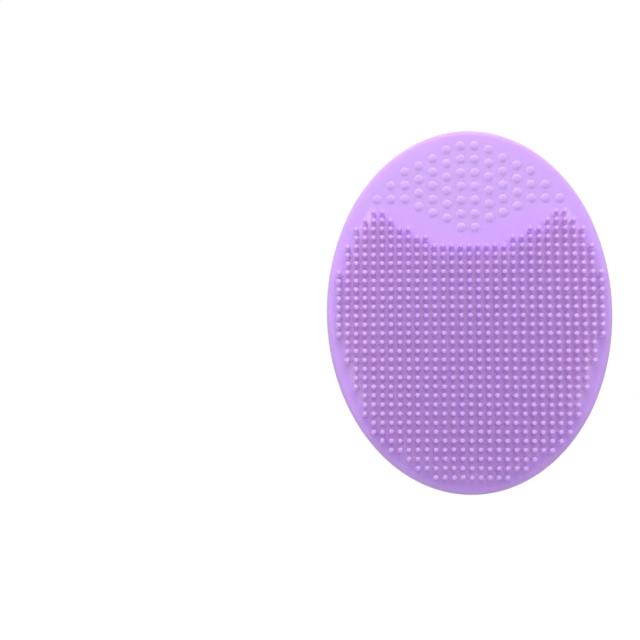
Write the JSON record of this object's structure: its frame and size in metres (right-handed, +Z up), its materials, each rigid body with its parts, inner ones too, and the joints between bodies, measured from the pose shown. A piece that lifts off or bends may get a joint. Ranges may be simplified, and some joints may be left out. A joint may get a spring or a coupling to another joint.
{
  "type": "facial cleansing brush",
  "caption": "Oval silicone facial brush with fine bristles, massage nubs in a bristle-free bay, raised side grips, and a suction cup on a short flexible neck behind.",
  "frame": {"origin": "centre of the ring of the suction cup that lies on the wall", "axes": "+Z up along the long axis of the oval pad, +X across the pad, +Y the way the cup opens, so the bristles point along -Y"},
  "size_m": [0.052, 0.018, 0.067],
  "materials": {
    "silicone": "satin"
  },
  "bodies": {
    "rim": {"cup_rim": "silicone"},
    "hub": {"cup_hub": "silicone", "cup_pip": "silicone", "cup_dish": "silicone"},
    "neck": {"neck_stem": "silicone"},
    "pad": {"pad_plate": "silicone", "finger_grip_left": "silicone", "finger_grip_right": "silicone", "bristle_field": "silicone", "massage_nubs": "silicone", "neck_foot": "silicone"}
  },
  "joints": [
    {"name": "cup_press", "type": "slide", "parent": "rim", "child": "hub", "axis": [0, 1, 0], "range_m": [0, 0.002], "stiffness_N_per_m": 2000, "deforming": ["cup_dish"]},
    {"name": "neck_pitch", "type": "hinge", "parent": "hub", "child": "neck", "pos_m": [0, -0.0083, 0], "axis": [1, 0, 0], "range_deg": [-12, 12], "stiffness_Nm_per_rad": 0.1, "deforming": ["neck_stem"]},
    {"name": "neck_yaw", "type": "hinge", "parent": "neck", "child": "pad", "pos_m": [0, -0.0083, 0], "axis": [0, 0, 1], "range_deg": [-12, 12], "stiffness_Nm_per_rad": 0.1, "deforming": ["neck_stem"]}
  ]
}
